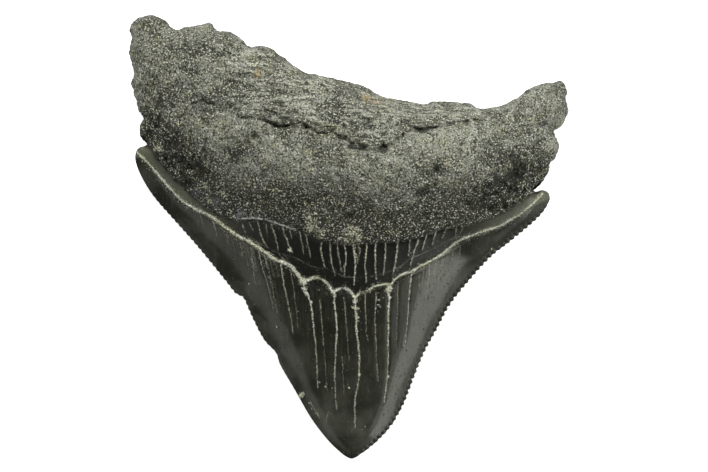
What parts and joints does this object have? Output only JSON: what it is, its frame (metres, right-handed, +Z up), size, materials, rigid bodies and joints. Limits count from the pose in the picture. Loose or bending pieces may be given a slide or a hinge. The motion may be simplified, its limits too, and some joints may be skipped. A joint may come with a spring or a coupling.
{
  "type": "fossil megalodon tooth",
  "caption": "Triangular serrated shark tooth fossil with a glossy black blade and a thick, rough grey root, lying flat with its bulging face up.",
  "frame": {"origin": "on the surface that the tooth lies on, under the middle of its bounding box", "axes": "+X across the tooth from the longer root lobe to the shorter one, +Y from the crown's tip to the root, +Z up, out of the bulging lingual face"},
  "size_m": [0.055, 0.0554, 0.0145],
  "materials": {
    "fossil_tooth": "glossy black enamel with pale mineral-filled cracks below, rough granular grey-olive root above"
  },
  "bodies": {
    "root": {"megalodon_tooth": "fossil_tooth"}
  },
  "joints": []
}
